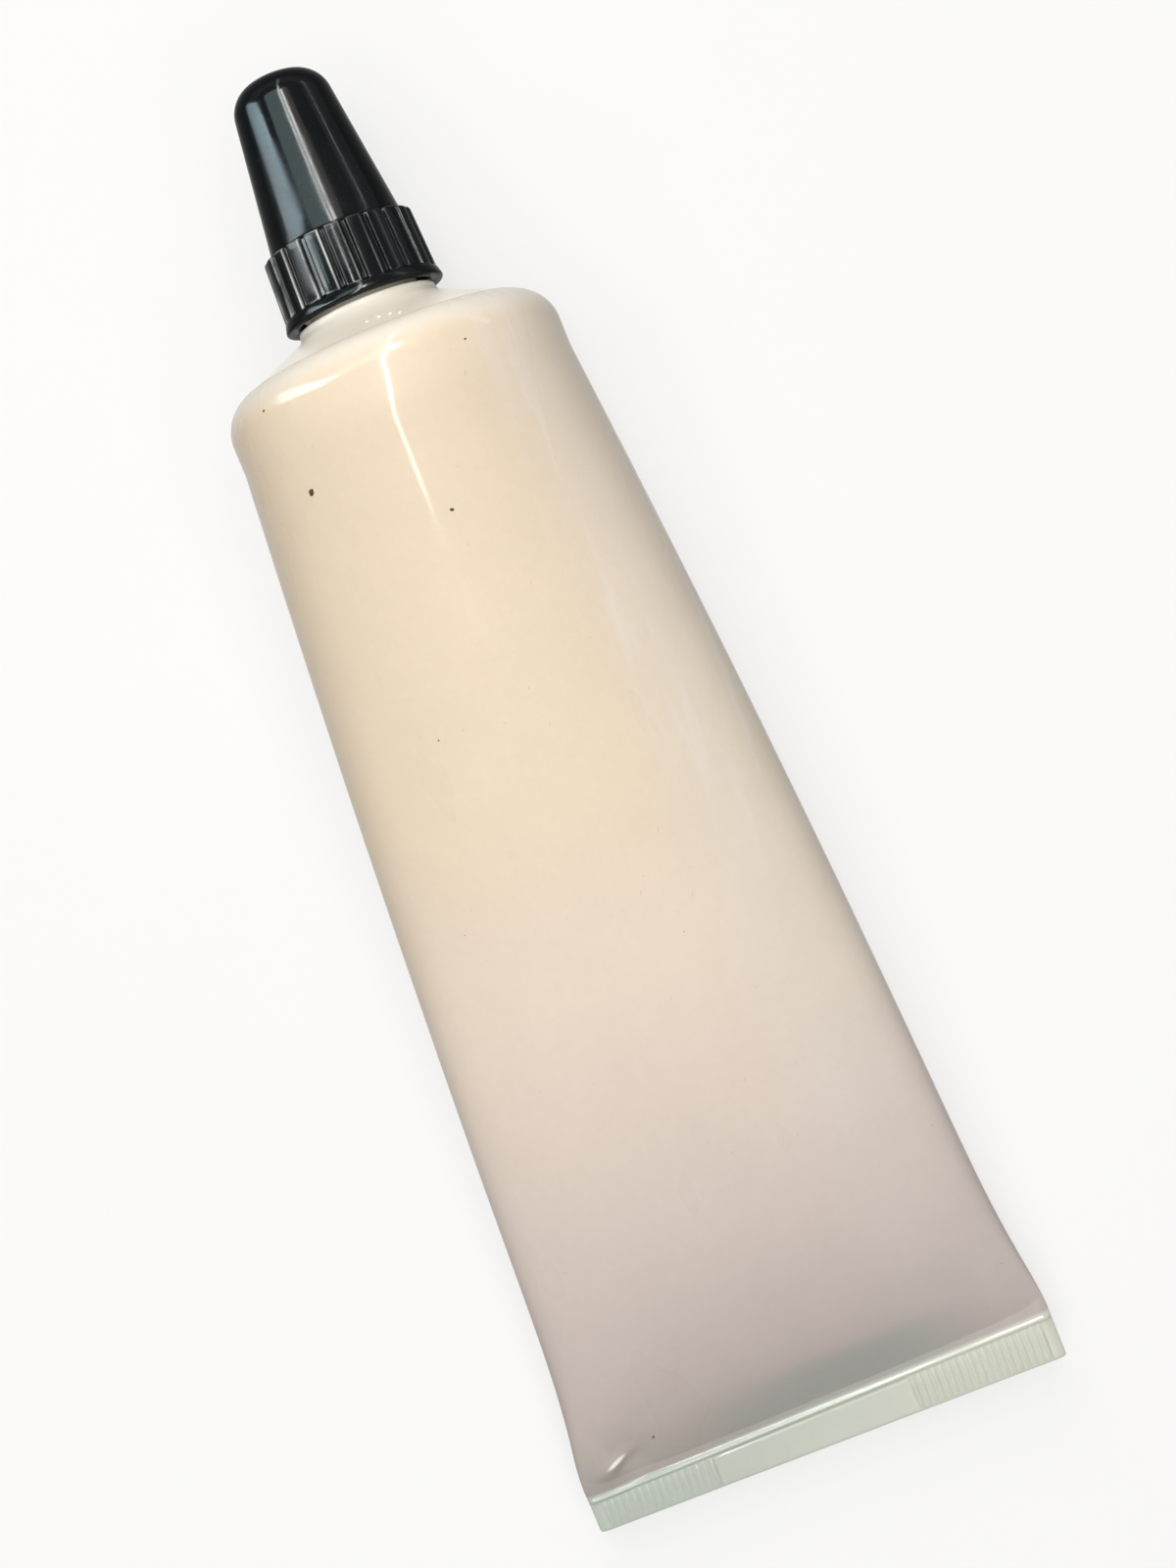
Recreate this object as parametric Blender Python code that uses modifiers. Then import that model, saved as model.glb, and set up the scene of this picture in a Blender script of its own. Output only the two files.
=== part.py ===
# A squeeze tube of grease lying on its back: sleeve, shoulder with threaded neck, foil, wad, cap, contents.
# Metres, +Z up. The tube's axis runs along X, with the cap at +X, and the underside rests on Z = 0.
# Lengths along the axis are counted from the far corner of the tail.

import math

import bmesh
import bpy
from mathutils import Matrix, Vector

MM = 0.001

# Sleeve
TUBE_RADIUS = 17.5 * MM
TUBE_LENGTH = 126.7 * MM  # tail to the sharp corner between sleeve and shoulder
SLEEVE_WALL = 0.5 * MM
CORNER_RADIUS = 4.0 * MM  # round-over of the sleeve onto the shoulder
SEAL_HEIGHT = 5.3 * MM  # at its taller end
SEAL_THICKNESS = 0.9 * MM
SEAL_BLUNTNESS = 2.0  # how blunt the seal's two narrow ends are
TRIM_SKEW = 1.4 * MM  # how far the tail is trimmed out of square, from one end of the seal to the other
TAIL_HALF_HEIGHT = 4.9 * MM  # half the height of the wedge where it meets the seal
TAIL_ROUNDING = 7.0 * MM  # length over which the wedge swells out of the seal
TAIL_POWER = 1.25  # how gently that swelling starts
TAIL_SQUARENESS = 0.5  # how boxy a section is next to the seal
REST_FLAT = 0.4 * MM  # how far the soft underside is pressed flat
REST_RUN = 18.0 * MM  # length over which the flat fades out towards the shoulder

# Shoulder and neck
SHOULDER_ANGLE = math.radians(23.0)
SHOULDER_WALL = 1.6 * MM
HEAD_RIM_LENGTH = 3.0 * MM  # length of sleeve that the shoulder's rim holds round
HEAD_RIM_WALL = 1.2 * MM
NECK_RADIUS = 5.7 * MM  # at the thread's root
BORE_RADIUS = 3.0 * MM
COLLAR_STEP = 0.85 * MM  # collar radius beyond the thread's crest
COLLAR_HEIGHT = 0.95 * MM
COLLAR_FILLET = 0.35 * MM
MOUTH_CHAMFER = 0.3 * MM

# Screw thread, right-handed
THREAD_PITCH = 2.0 * MM
THREAD_DEPTH = 0.7 * MM
THREAD_GAP = 0.3 * MM  # radial clearance at root and crest
THREAD_RUNOUT = 0.35 * MM  # plain length left below each thread
THREAD_SINK = 0.3 * MM  # how far a thread's root reaches into the wall that carries it

# Cap
SKIRT_HEIGHT = 7.25 * MM
SKIRT_WALL = 0.75 * MM  # from the bore to the bottom of the grooves
SKIRT_TAPER = 0.25 * MM  # radius gained from the skirt's top to its lip
LIP_HEIGHT = 1.0 * MM
LIP_FLARE = 0.27 * MM
LEAD_IN = 0.6 * MM
EDGE_CHAMFER = 0.25 * MM
RIB_COUNT = 22
RIB_DEPTH = 0.4 * MM
GROOVE_FLOOR_WIDTH = 0.55 * MM
GROOVE_MOUTH_WIDTH = 1.05 * MM
LEDGE_WIDTH = 0.95 * MM
LEDGE_WALL = 1.2 * MM  # between the skirt's top and the wad's seat
CONE_HEIGHT = 16.75 * MM
CONE_TAPER = 1.8 * MM  # radius lost from the ledge to the rounded top
CONE_WALL = 1.3 * MM
DOME_RADIUS = 3.1 * MM
DOME_LIMIT = 0.9  # largest share of the cone's top that the dome may round
CUT_OVERSHOOT = 1.0 * MM

# Wad, foil and contents
WAD_THICKNESS = 1.0 * MM
FOIL_THICKNESS = 0.2 * MM
FOIL_INSET = 0.3 * MM  # foil radius short of the neck's mouth

# Clearances
SEAT_GAP = 0.1 * MM  # between flat faces that press together
FIT_GAP = 0.3 * MM  # between round or lofted faces
MERGE_DISTANCE = 0.001 * MM

# Facets
RING_POINTS = 48
BODY_STATIONS = 17
STATION_CROWDING = 1.6  # stations crowd towards the tail
CORNER_STEPS = 6
DOME_STEPS = 6
THREAD_STEPS_PER_TURN = 32
SHARP_ANGLE = math.radians(35)

# Sizes that follow from the ones above
corner_turn = math.pi / 2 - SHOULDER_ANGLE
corner_start = TUBE_LENGTH - CORNER_RADIUS * math.tan(corner_turn / 2)
wedge_length = corner_start - HEAD_RIM_LENGTH - SEAL_HEIGHT
thread_root_width = THREAD_PITCH / 2
thread_crest_width = THREAD_PITCH / 4
thread_crest_radius = NECK_RADIUS + THREAD_DEPTH
collar_radius = thread_crest_radius + COLLAR_STEP
shoulder_top = TUBE_LENGTH + (TUBE_RADIUS - collar_radius) * math.tan(SHOULDER_ANGLE)
collar_top = shoulder_top + COLLAR_HEIGHT
cap_bore_radius = thread_crest_radius + THREAD_GAP
skirt_top_radius = cap_bore_radius + SKIRT_WALL + RIB_DEPTH
skirt_foot_radius = skirt_top_radius + SKIRT_TAPER
rim_radius = skirt_foot_radius + LIP_FLARE
cone_base_radius = skirt_top_radius - LEDGE_WIDTH
cone_top_radius = cone_base_radius - CONE_TAPER
cap_rim = collar_top + FIT_GAP
lip_top = cap_rim + LIP_HEIGHT
cap_ledge = cap_rim + SKIRT_HEIGHT
cap_top = cap_ledge + CONE_HEIGHT
wad_seat = cap_ledge - LEDGE_WALL
wad_bottom = wad_seat - SEAT_GAP - WAD_THICKNESS
foil_bottom = wad_bottom - SEAT_GAP - FOIL_THICKNESS
neck_mouth = foil_bottom - SEAT_GAP

FINISHES = {
    "tube_sleeve": ((0.80, 0.71, 0.57), 0.28, 0.0),
    "shoulder_neck": ((0.82, 0.79, 0.68), 0.35, 0.0),
    "screw_cap": ((0.012, 0.014, 0.015), 0.18, 0.0),
    "sealing_wad": ((0.85, 0.85, 0.82), 0.8, 0.0),
    "foil_seal": ((0.72, 0.72, 0.72), 0.3, 1.0),
    "grease_fill": ((0.70, 0.48, 0.16), 0.4, 0.0),
}


def clear_scene():
    for item in list(bpy.data.objects):
        bpy.data.objects.remove(item, do_unlink=True)


def make_collection(name):
    group = bpy.data.collections.new(name)
    bpy.context.scene.collection.children.link(group)
    return group


def make_empty(name, group, location, rotation=(0.0, 0.0, 0.0)):
    empty = bpy.data.objects.new(name, None)
    empty.location = location
    empty.rotation_euler = rotation
    group.objects.link(empty)
    return empty


def make_object(name, mesh, group, parent):
    item = bpy.data.objects.new(name, mesh)
    item.parent = parent
    group.objects.link(item)
    return item


def hide_cutter(item):
    item.hide_render = True
    item.display_type = 'WIRE'


def finish_part(item):
    colour, roughness, metallic = FINISHES[item.name]
    material = bpy.data.materials.new(item.name)
    material.use_nodes = True
    shader = material.node_tree.nodes["Principled BSDF"]
    shader.inputs["Base Color"].default_value = (*colour, 1.0)
    shader.inputs["Roughness"].default_value = roughness
    shader.inputs["Metallic"].default_value = metallic
    item.data.materials.append(material)
    item.data.shade_smooth()
    item.data.set_sharp_from_angle(angle=SHARP_ANGLE)


# Lofted pieces: the sleeve and its contents

def half_width_for(half_height):
    # A flattened sleeve keeps its circumference, so a lower section is wider.
    circumference = 2 * math.pi * TUBE_RADIUS
    low = 0.5 * TUBE_RADIUS
    high = math.pi / 2 * TUBE_RADIUS
    for _ in range(40):
        width = (low + high) / 2
        spread = ((width - half_height) / (width + half_height)) ** 2
        length = math.pi * (width + half_height) * (1 + 3 * spread / (10 + math.sqrt(4 - 3 * spread)))
        if length > circumference:
            high = width
        else:
            low = width
    return width


def wedge_half_height(run):
    return TAIL_HALF_HEIGHT + (TUBE_RADIUS - TAIL_HALF_HEIGHT) * run / wedge_length


def body_half_height(run):
    swell = 1 - math.exp(-(run / TAIL_ROUNDING) ** TAIL_POWER)
    return max(wedge_half_height(run) * swell, SEAL_THICKNESS / 2)


def clipped_ring(axial, half_width, half_height, middle, low, high=math.inf, squareness=1.0, skew=0.0):
    points = []
    for i in range(RING_POINTS):
        angle = 2 * math.pi * i / RING_POINTS
        rise = math.copysign(abs(math.sin(angle)) ** squareness, math.sin(angle))
        height = min(max(middle + half_height * rise, low), high)
        points.append((axial + skew * (1 + math.cos(angle)) / 2, half_width * math.cos(angle), height))
    return points


def body_ring(run, inset):
    # Section of the wedge, in from its outside by the inset. The underside is pressed flat where it rests.
    half_height = body_half_height(run)
    pressed = REST_FLAT * min(1.0, (wedge_length - run) / REST_RUN)
    middle = wedge_half_height(run) - TUBE_RADIUS - pressed
    squareness = 1 - TAIL_SQUARENESS * math.exp(-run / TAIL_ROUNDING)
    return clipped_ring(SEAL_HEIGHT + run, half_width_for(half_height) - inset, half_height - inset, middle,
                        inset - TUBE_RADIUS, squareness=squareness)


def body_runs(least_half_height):
    runs = [wedge_length * (i / BODY_STATIONS) ** STATION_CROWDING for i in range(1, BODY_STATIONS + 1)]
    return [run for run in runs if body_half_height(run) > least_half_height]


def round_ring(axial, radius):
    return clipped_ring(axial, radius, radius, 0.0, -radius)


def corner_arc(inset):
    radius = CORNER_RADIUS - inset
    arc = []
    for i in range(CORNER_STEPS + 1):
        angle = corner_turn * i / CORNER_STEPS
        radial = TUBE_RADIUS - CORNER_RADIUS + radius * math.cos(angle)
        arc.append((corner_start + radius * math.sin(angle), radial))
    return arc


def loft_mesh(name, rings):
    mesh = bpy.data.meshes.new(name)
    bm = bmesh.new()
    loops = [[bm.verts.new(point) for point in ring] for ring in rings]
    for first, second in zip(loops, loops[1:]):
        for i in range(RING_POINTS):
            j = (i + 1) % RING_POINTS
            bm.faces.new((first[i], first[j], second[j], second[i]))
    bm.faces.new(loops[0])
    bm.faces.new(loops[-1])
    bmesh.ops.recalc_face_normals(bm, faces=bm.faces)
    bm.to_mesh(mesh)
    bm.free()
    return mesh


def make_sleeve(group, parent):
    seal_middle = TAIL_HALF_HEIGHT - TUBE_RADIUS - REST_FLAT
    seal_low = seal_middle - SEAL_THICKNESS / 2
    seal_high = seal_middle + SEAL_THICKNESS / 2
    seal_width = half_width_for(SEAL_THICKNESS / 2)
    seal_bulge = SEAL_THICKNESS * SEAL_BLUNTNESS
    trim = clipped_ring(0.0, seal_width, seal_bulge, seal_middle, seal_low, seal_high, skew=TRIM_SKEW)
    seal = clipped_ring(SEAL_HEIGHT, seal_width, seal_bulge, seal_middle, seal_low, seal_high)
    outside = [body_ring(run, 0.0) for run in body_runs(SEAL_THICKNESS / 2)]
    outside += [round_ring(*place) for place in corner_arc(0.0)]
    inside = [body_ring(run, SLEEVE_WALL) for run in body_runs(2 * SLEEVE_WALL)]
    inside += [round_ring(*place) for place in corner_arc(SLEEVE_WALL)]
    mesh = loft_mesh("tube_sleeve", [trim, seal] + outside + inside[::-1])
    return make_object("tube_sleeve", mesh, group, parent)


def make_contents(group, parent):
    inset = SLEEVE_WALL + FIT_GAP
    under_slope = SHOULDER_WALL / math.cos(SHOULDER_ANGLE) + FIT_GAP
    rim_radius_inside = TUBE_RADIUS - inset - HEAD_RIM_WALL - FIT_GAP
    rim_start = corner_start - HEAD_RIM_LENGTH
    column_radius = BORE_RADIUS - FIT_GAP
    rings = [body_ring(run, inset) for run in body_runs(inset + SLEEVE_WALL) if run < wedge_length - FIT_GAP]
    rings.append(round_ring(rim_start, rim_radius_inside))
    rings.append(round_ring(shoulder_height(rim_radius_inside) - under_slope, rim_radius_inside))
    rings.append(round_ring(shoulder_height(column_radius) - under_slope, column_radius))
    rings.append(round_ring(neck_mouth, column_radius))
    return make_object("grease_fill", loft_mesh("grease_fill", rings), group, parent)


# Turned pieces: profiles of (radius, height along the axis), down the outer side first

def shoulder_height(radius):
    return TUBE_LENGTH + (TUBE_RADIUS - radius) * math.tan(SHOULDER_ANGLE)


def make_turned(name, profile, group, parent, closed):
    mesh = bpy.data.meshes.new(name)
    count = len(profile)
    edges = [(i, i + 1) for i in range(count - 1)]
    if closed:
        edges.append((count - 1, 0))
    mesh.from_pydata([(radius, 0.0, height) for radius, height in profile], edges, [])
    item = make_object(name, mesh, group, parent)
    turn = item.modifiers.new("turn", 'SCREW')
    turn.steps = RING_POINTS
    turn.render_steps = RING_POINTS
    turn.use_merge_vertices = True
    turn.merge_threshold = MERGE_DISTANCE
    return item


def make_disc(name, radius, thickness, height, group, parent):
    mesh = bpy.data.meshes.new(name)
    bm = bmesh.new()
    bmesh.ops.create_cone(bm, cap_ends=True, segments=RING_POINTS, radius1=radius, radius2=radius,
                          depth=thickness)
    bm.to_mesh(mesh)
    bm.free()
    item = make_object(name, mesh, group, parent)
    item.location.z = height + thickness / 2
    return item


def make_thread(name, root_radius, crest_radius, start, end, phase, group, parent):
    # A trapezoid swept along a right-handed helix, from the start height to the end height of its middle.
    turns = (end - start) / THREAD_PITCH
    half_root = thread_root_width / 2
    half_crest = thread_crest_width / 2
    profile = [
        (root_radius, half_root),
        (crest_radius, half_crest),
        (crest_radius, -half_crest),
        (root_radius, -half_root),
    ]
    sweep = make_turned(name + "_sweep", profile, group, parent, closed=True)
    turn = sweep.modifiers["turn"]
    turn.angle = 2 * math.pi * turns
    turn.screw_offset = end - start
    turn.steps = math.ceil(THREAD_STEPS_PER_TURN * turns)
    turn.render_steps = turn.steps
    turn.use_merge_vertices = False
    bpy.context.view_layer.update()
    mesh = bpy.data.meshes.new_from_object(sweep.evaluated_get(bpy.context.evaluated_depsgraph_get()))
    bpy.data.objects.remove(sweep, do_unlink=True)
    bm = bmesh.new()
    bm.from_mesh(mesh)
    bmesh.ops.holes_fill(bm, edges=[edge for edge in bm.edges if edge.is_boundary], sides=0)
    bmesh.ops.recalc_face_normals(bm, faces=bm.faces)
    bm.transform(Matrix.Translation(Vector((0.0, 0.0, start))) @ Matrix.Rotation(phase, 4, 'Z'))
    bm.to_mesh(mesh)
    bm.free()
    thread = make_object(name, mesh, group, parent)
    hide_cutter(thread)
    return thread


def add_boolean(item, other, operation):
    change = item.modifiers.new(other.name, 'BOOLEAN')
    change.operation = operation
    change.object = other


def neck_thread_start():
    return collar_top + THREAD_RUNOUT + thread_root_width / 2


def make_shoulder(group, cutters, parent):
    depth = SLEEVE_WALL + FIT_GAP
    lip_radius = corner_arc(0.0)[-1][1] - FIT_GAP
    step_radius = lip_radius - depth * math.cos(corner_turn)
    step_height = shoulder_height(lip_radius) - depth * math.sin(corner_turn)
    rim_outside = TUBE_RADIUS - depth
    rim_inside = rim_outside - HEAD_RIM_WALL
    rim_end = corner_start - HEAD_RIM_LENGTH + FIT_GAP
    under_slope = SHOULDER_WALL / math.cos(SHOULDER_ANGLE)
    foot_radius = collar_radius + COLLAR_FILLET
    profile = [
        (NECK_RADIUS - MOUTH_CHAMFER, neck_mouth),
        (NECK_RADIUS, neck_mouth - MOUTH_CHAMFER),
        (NECK_RADIUS, collar_top),
        (collar_radius, collar_top),
        (collar_radius, shoulder_top + COLLAR_FILLET),
        (foot_radius, shoulder_height(foot_radius)),
        (lip_radius, shoulder_height(lip_radius)),
        (step_radius, step_height),
    ]
    profile += [(radius, height) for height, radius in reversed(corner_arc(depth))]
    profile += [
        (rim_outside, rim_end),
        (rim_inside, rim_end),
        (rim_inside, shoulder_height(rim_inside) - under_slope),
        (BORE_RADIUS, shoulder_height(BORE_RADIUS) - under_slope),
        (BORE_RADIUS, neck_mouth),
    ]
    shoulder = make_turned("shoulder_neck", profile, group, parent, closed=True)
    start = neck_thread_start()
    end = neck_mouth - MOUTH_CHAMFER - thread_root_width / 2
    root = NECK_RADIUS - THREAD_SINK
    thread = make_thread("neck_thread", root, thread_crest_radius, start, end, 0.0, cutters, parent)
    add_boolean(shoulder, thread, 'UNION')
    return shoulder


def make_grooves(group, parent):
    # One tapered wedge for each groove between two ribs, open past the skirt's top.
    lean = SKIRT_TAPER / (cap_ledge - lip_top)
    flank = (GROOVE_MOUTH_WIDTH - GROOVE_FLOOR_WIDTH) / RIB_DEPTH
    bm = bmesh.new()
    for i in range(RIB_COUNT):
        wedge = bmesh.ops.create_cube(bm, size=2.0)["verts"]
        for vert in wedge:
            outward = (vert.co.x + 1) / 2
            height = lip_top if vert.co.z < 0 else cap_ledge + CUT_OVERSHOOT
            crest = skirt_foot_radius - lean * (height - lip_top)
            reach = outward * (RIB_DEPTH + CUT_OVERSHOOT)
            width = GROOVE_FLOOR_WIDTH + flank * reach
            vert.co = Vector((crest - RIB_DEPTH + reach, vert.co.y * width / 2, height))
        turn = Matrix.Rotation(2 * math.pi * (i + 0.5) / RIB_COUNT, 3, 'Z')
        bmesh.ops.rotate(bm, verts=wedge, cent=(0.0, 0.0, 0.0), matrix=turn)
    mesh = bpy.data.meshes.new("skirt_grooves")
    bm.to_mesh(mesh)
    bm.free()
    grooves = make_object("skirt_grooves", mesh, group, parent)
    hide_cutter(grooves)
    return grooves


def make_cap(group, cutters, parent):
    dome = min(DOME_RADIUS, DOME_LIMIT * cone_top_radius)
    dome_start = cap_top - dome
    profile = [(0.0, cap_top)]
    for i in range(DOME_STEPS + 1):
        angle = math.pi / 2 * (1 - i / DOME_STEPS)
        profile.append((cone_top_radius - dome + dome * math.cos(angle), dome_start + dome * math.sin(angle)))
    profile += [
        (cone_base_radius, cap_ledge),
        (skirt_top_radius - EDGE_CHAMFER, cap_ledge),
        (skirt_top_radius, cap_ledge - EDGE_CHAMFER),
        (skirt_foot_radius, lip_top),
        (rim_radius, cap_rim + EDGE_CHAMFER),
        (rim_radius - EDGE_CHAMFER, cap_rim),
        (cap_bore_radius + LEAD_IN, cap_rim),
        (cap_bore_radius, cap_rim + LEAD_IN),
        (cap_bore_radius, wad_seat),
        (cone_base_radius - CONE_WALL, wad_seat),
        (cone_top_radius - CONE_WALL, dome_start),
        (cone_top_radius - dome, cap_top - CONE_WALL),
        (0.0, cap_top - CONE_WALL),
    ]
    cap = make_turned("screw_cap", profile, group, parent, closed=False)
    start = cap_rim + LEAD_IN + THREAD_RUNOUT + thread_root_width / 2
    end = wad_bottom - FIT_GAP - thread_root_width / 2
    # The cap's thread lies half a pitch from the neck's, so it runs in the neck's groove.
    phase = 2 * math.pi * (start - THREAD_PITCH / 2 - neck_thread_start()) / THREAD_PITCH
    root = cap_bore_radius + THREAD_SINK
    crest = NECK_RADIUS + THREAD_GAP
    thread = make_thread("cap_thread", root, crest, start, end, phase, cutters, parent)
    add_boolean(cap, thread, 'UNION')
    add_boolean(cap, make_grooves(cutters, parent), 'DIFFERENCE')
    return cap


def main():
    clear_scene()
    parts = make_collection("grease_tube")
    cutters = make_collection("grease_tube_cutters")
    tail = (-cap_top / 2, 0.0, TUBE_RADIUS)
    tube_frame = make_empty("tube_frame", parts, tail)
    screw_axis = make_empty("screw_axis", parts, tail, (0.0, math.pi / 2, 0.0))
    wad_radius = cap_bore_radius - FIT_GAP
    pieces = [
        make_sleeve(parts, tube_frame),
        make_contents(parts, tube_frame),
        make_shoulder(parts, cutters, screw_axis),
        make_disc("foil_seal", NECK_RADIUS - FOIL_INSET, FOIL_THICKNESS, foil_bottom, parts, screw_axis),
        make_disc("sealing_wad", wad_radius, WAD_THICKNESS, wad_bottom, parts, screw_axis),
        make_cap(parts, cutters, screw_axis),
    ]
    for piece in pieces:
        finish_part(piece)


main()
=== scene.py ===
# Looks for a squeeze tube of grease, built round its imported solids.
# Metres, in the row frame: the tube lies along X with its cap at +X, and rests on Z = 0.

import math
from functools import partialmethod
from types import SimpleNamespace

import bpy
import numpy as np
from mathutils import Matrix, Vector


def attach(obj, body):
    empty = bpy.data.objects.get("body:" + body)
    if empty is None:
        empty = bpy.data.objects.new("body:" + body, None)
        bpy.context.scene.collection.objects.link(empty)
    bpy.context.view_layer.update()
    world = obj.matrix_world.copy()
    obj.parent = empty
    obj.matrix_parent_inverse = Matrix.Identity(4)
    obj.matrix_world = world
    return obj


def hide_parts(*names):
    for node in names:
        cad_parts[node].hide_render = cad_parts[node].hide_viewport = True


mm = 0.001

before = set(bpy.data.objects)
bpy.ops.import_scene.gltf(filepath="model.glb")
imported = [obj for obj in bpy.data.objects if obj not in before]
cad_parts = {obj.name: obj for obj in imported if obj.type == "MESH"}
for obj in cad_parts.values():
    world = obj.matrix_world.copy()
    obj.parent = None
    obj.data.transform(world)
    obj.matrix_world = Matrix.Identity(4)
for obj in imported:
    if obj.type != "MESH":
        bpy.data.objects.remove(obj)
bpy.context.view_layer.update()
print("frame loaded:", ", ".join(sorted(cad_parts)))


def dots(settings):
    # lets a settings dictionary be read with dots
    return SimpleNamespace(**settings)


# places along X and radii that several pieces share
tube = dots({
    "radius": 17.5 * mm,
    "axisHeight": 17.5 * mm,
    "tailEnd": -78.15 * mm,  # the tail's far corner
    "sealHeight": 5.3 * mm,
    "sealMiddle": 4.5 * mm,  # height of the seal above the bench
    "sealThickness": 0.9 * mm,
    "sealHalfWidth": 27.5 * mm,
    "trimSkew": 1.4 * mm,  # the tail is cut a little out of square
    "padLeft": 12.9 * mm,  # the plain pad in the middle of the seal
    "padRight": -10.2 * mm,
    "cornerStart": 45.9 * mm,
    "cornerRadius": 4.0 * mm,
    "cornerTurn": math.radians(67.0),
    "shoulderSlope": math.tan(math.radians(23.0)),
    "sharpCorner": 48.55 * mm,  # where sleeve and shoulder would meet without the round-over
    "neckMouth": 58.7 * mm,
})
tube.sealLine = tube.tailEnd + tube.sealHeight  # where the seal ends and the body starts
pucker = {"x": -69.3 * mm, "y": 22.8 * mm, "z": 6.0 * mm}  # a short pucker at one corner of the tail


def conePlace(radius):
    # X of the shoulder's cone at this radius
    return tube.sharpCorner + (tube.radius - radius) * tube.shoulderSlope


# small helpers for node trees

class wire:
    # a node's output that is reckoned with like a number: every sign adds a Math node
    def __init__(self, tree, socket):
        self.tree, self.socket = tree, socket

    def do(self, operation, *others):
        return calc(self.tree, operation, self, *others)

    def __rsub__(self, other):
        return calc(self.tree, "SUBTRACT", other, self)

    __add__ = __radd__ = partialmethod(do, "ADD")
    __sub__ = partialmethod(do, "SUBTRACT")
    __mul__ = __rmul__ = partialmethod(do, "MULTIPLY")
    __truediv__ = partialmethod(do, "DIVIDE")
    __pow__ = partialmethod(do, "POWER")
    __lt__ = partialmethod(do, "LESS_THAN")
    __gt__ = partialmethod(do, "GREATER_THAN")
    __neg__ = partialmethod(do, "MULTIPLY", -1.0)
    __abs__ = partialmethod(do, "ABSOLUTE")


def feed(tree, socket, value):
    if isinstance(value, wire):
        tree.links.new(value.socket, socket)
    else:
        socket.default_value = value


def addNode(tree, kind, feeds=None, **settings):
    # feeds go by an input's name or number
    node = tree.nodes.new(kind)
    for label, value in settings.items():
        setattr(node, label, value)
    for label, value in (feeds or {}).items():
        feed(tree, node.inputs[label], value)
    return node


def grow(tree, kind, output, feeds=None, **settings):
    return wire(tree, addNode(tree, kind, feeds, **settings).outputs[output])


def calc(tree, operation, *values):
    return grow(tree, "ShaderNodeMath", 0, dict(enumerate(values)), operation=operation)


def least(value, other):
    return value.do("MINIMUM", other)


def most(value, other):
    return value.do("MAXIMUM", other)


def fading(value):
    return (-value).do("EXPONENT")


def bell(distance, width):
    ratio = distance / width
    return fading(ratio * ratio)


def vector(tree, x=0.0, y=0.0, z=0.0):
    return grow(tree, "ShaderNodeCombineXYZ", "Vector", {"X": x, "Y": y, "Z": z})


def axesOf(value):
    node = addNode(value.tree, "ShaderNodeSeparateXYZ", {"Vector": value})
    return [wire(value.tree, socket) for socket in node.outputs]


def scaled(value, factor):
    return grow(value.tree, "ShaderNodeVectorMath", "Vector", {0: value, "Scale": factor}, operation="SCALE")


def lengthOf(value):
    return grow(value.tree, "ShaderNodeVectorMath", "Value", {0: value}, operation="LENGTH")


def noise(place, scale, detail=2.0, stretch=None, rough=0.5):
    tree = place.tree
    if stretch:
        place = grow(tree, "ShaderNodeMapping", "Vector", {"Vector": place, "Scale": stretch})
    return grow(tree, "ShaderNodeTexNoise", "Fac", {"Vector": place, "Scale": scale, "Detail": detail,
                                                    "Roughness": rough})


# Geometry Nodes trees

def startTree(name, inputs):
    tree = bpy.data.node_groups.new(name, "GeometryNodeTree")
    for label, kind in {"Geometry": "Geometry", **inputs, "material": "Material"}.items():
        tree.interface.new_socket(name=label, in_out="INPUT", socket_type="NodeSocket" + kind)
    tree.interface.new_socket(name="Geometry", in_out="OUTPUT", socket_type="NodeSocketGeometry")
    source = tree.nodes.new("NodeGroupInput")
    return tree, dots({socket.name: wire(tree, socket) for socket in source.outputs if socket.name})


def step(kind, geometry, **feeds):
    # a node that takes geometry and hands it on
    return grow(geometry.tree, "GeometryNode" + kind, "Geometry", {"Geometry": geometry, **feeds})


def scatter(points, instance, **feeds):
    return grow(points.tree, "GeometryNodeInstanceOnPoints", "Instances", {
        "Points": points, "Instance": instance, **feeds})


def endTree(g, geometry):
    smooth = step("SetShadeSmooth", step("RealizeInstances", geometry))
    addNode(geometry.tree, "NodeGroupOutput", {"Geometry": step("SetMaterial", smooth, Material=g.material)})
    return geometry.tree


def stored(tree, label, kind="FLOAT"):
    return grow(tree, "GeometryNodeInputNamedAttribute", "Attribute", {"Name": label}, data_type=kind)


def placeOf(tree):
    return grow(tree, "GeometryNodeInputPosition", "Position")


def bakeTree(item, tree, values):
    # runs the tree on the object and keeps the result as a plain mesh
    modifier = item.modifiers.new(tree.name, "NODES")
    modifier.node_group = tree
    for socket in tree.interface.items_tree:
        if socket.item_type == "SOCKET" and socket.in_out == "INPUT" and socket.name in values:
            modifier[socket.identifier] = values[socket.name]
    bpy.context.view_layer.update()
    mesh = bpy.data.meshes.new_from_object(item.evaluated_get(bpy.context.evaluated_depsgraph_get()))
    item.modifiers.remove(modifier)
    source = item.data
    item.data = mesh
    bpy.data.meshes.remove(source)
    mesh.name = item.name
    return item


# meshes

def linkObject(data):
    item = bpy.data.objects.new(data.name, data)
    bpy.context.scene.collection.objects.link(item)
    return item


def linkMesh(name, points, faces=()):
    mesh = bpy.data.meshes.new(name)
    mesh.from_pydata([tuple(point) for point in points], [], [tuple(face) for face in faces])
    return linkObject(mesh)


def storeFloats(item, **columns):
    for label, values in columns.items():
        attribute = item.data.attributes.new(label, "FLOAT", "POINT")
        attribute.data.foreach_set("value", np.asarray(values, np.float32))


def setSharp(item, degrees):
    item.data.set_sharp_from_angle(angle=math.radians(degrees))
    return item


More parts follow.
